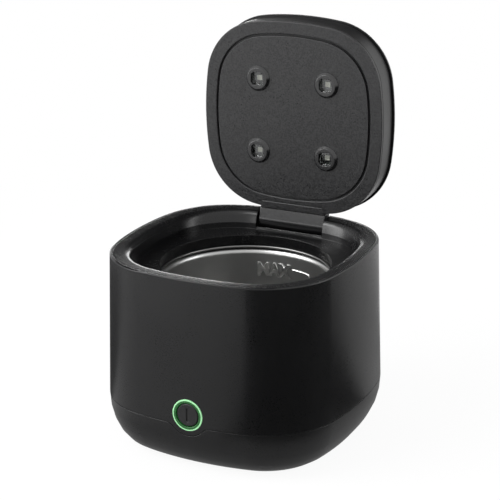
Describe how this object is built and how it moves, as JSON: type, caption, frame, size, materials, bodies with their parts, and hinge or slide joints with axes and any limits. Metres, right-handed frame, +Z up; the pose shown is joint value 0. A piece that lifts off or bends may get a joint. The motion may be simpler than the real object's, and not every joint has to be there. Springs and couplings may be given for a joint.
{
  "type": "ultrasonic retainer cleaner",
  "caption": "Compact rounded-square tabletop cleaner with a round steel tank, a ringed front button and a hinged lid with small lamps, shown open.",
  "frame": {"origin": "centre of the base pad's underside, on the surface the cleaner stands on", "axes": "+Z up, -Y towards the button at the front, +X to the right seen from the front; the lid stands open at rest above the rear edge"},
  "size_m": [0.1072, 0.1134, 0.1702],
  "materials": {
    "black_shell": "satin moulded ABS",
    "dish_plastic": "satin moulded ABS",
    "lid_grey": "finely textured moulded ABS",
    "hinge_plastic": "satin moulded",
    "lamp_plastic": "gloss moulded",
    "clear_window": "clear polycarbonate",
    "ring_light": "translucent green light guide",
    "stainless": "drawn, satin",
    "steel_bright": "plated",
    "seal_rubber": "matt",
    "pad_rubber": "matt",
    "ceramic": "fired ceramic",
    "board_green": "solder mask",
    "cell_wrap": "shrink wrap",
    "inner_black": "moulded",
    "copper_coil": "enamelled winding",
    "diode": "ceramic package"
  },
  "bodies": {
    "housing": {"upper_shell": "black_shell", "bottom_case": "black_shell", "dish_bezel": "dish_plastic", "tank": "stainless", "tank_seal": "seal_rubber", "piezo_disc": "ceramic", "base_pad": "pad_rubber", "case_screws": "steel_bright", "cell_holder": "inner_black", "cell_front": "cell_wrap", "cell_rear": "cell_wrap", "driver_board": "board_green", "step_up_coil": "copper_coil", "charging_socket": "steel_bright", "button_board": "board_green", "tact_switch": "inner_black", "light_ring": "ring_light", "hinge_pin_left": "steel_bright", "hinge_pin_right": "steel_bright", "lid_sensor": "inner_black"},
    "lid": {"lid_frame": "lid_grey", "lid_side": "lid_grey", "lid_cover": "black_shell", "inner_panel": "lid_grey", "lamp_board": "board_green", "hinge_arm": "hinge_plastic", "lid_magnet": "steel_bright", "lamp_bezel_1": "lamp_plastic", "lamp_window_1": "clear_window", "lamp_diode_1": "diode", "lamp_bezel_2": "lamp_plastic", "lamp_window_2": "clear_window", "lamp_diode_2": "diode", "lamp_bezel_3": "lamp_plastic", "lamp_window_3": "clear_window", "lamp_diode_3": "diode", "lamp_bezel_4": "lamp_plastic", "lamp_window_4": "clear_window", "lamp_diode_4": "diode"},
    "button": {"power_button": "black_shell", "switch_plunger": "inner_black"}
  },
  "joints": [
    {"name": "lid_hinge", "type": "hinge", "parent": "housing", "child": "lid", "pos_m": [0, 0.0482, 0.0788], "axis": [1, 0, 0], "range_deg": [0, 90]},
    {"name": "button_press", "type": "slide", "parent": "housing", "child": "button", "axis": [0, 1, 0], "range_m": [0, 0.0005], "stiffness_N_per_m": 3200}
  ]
}
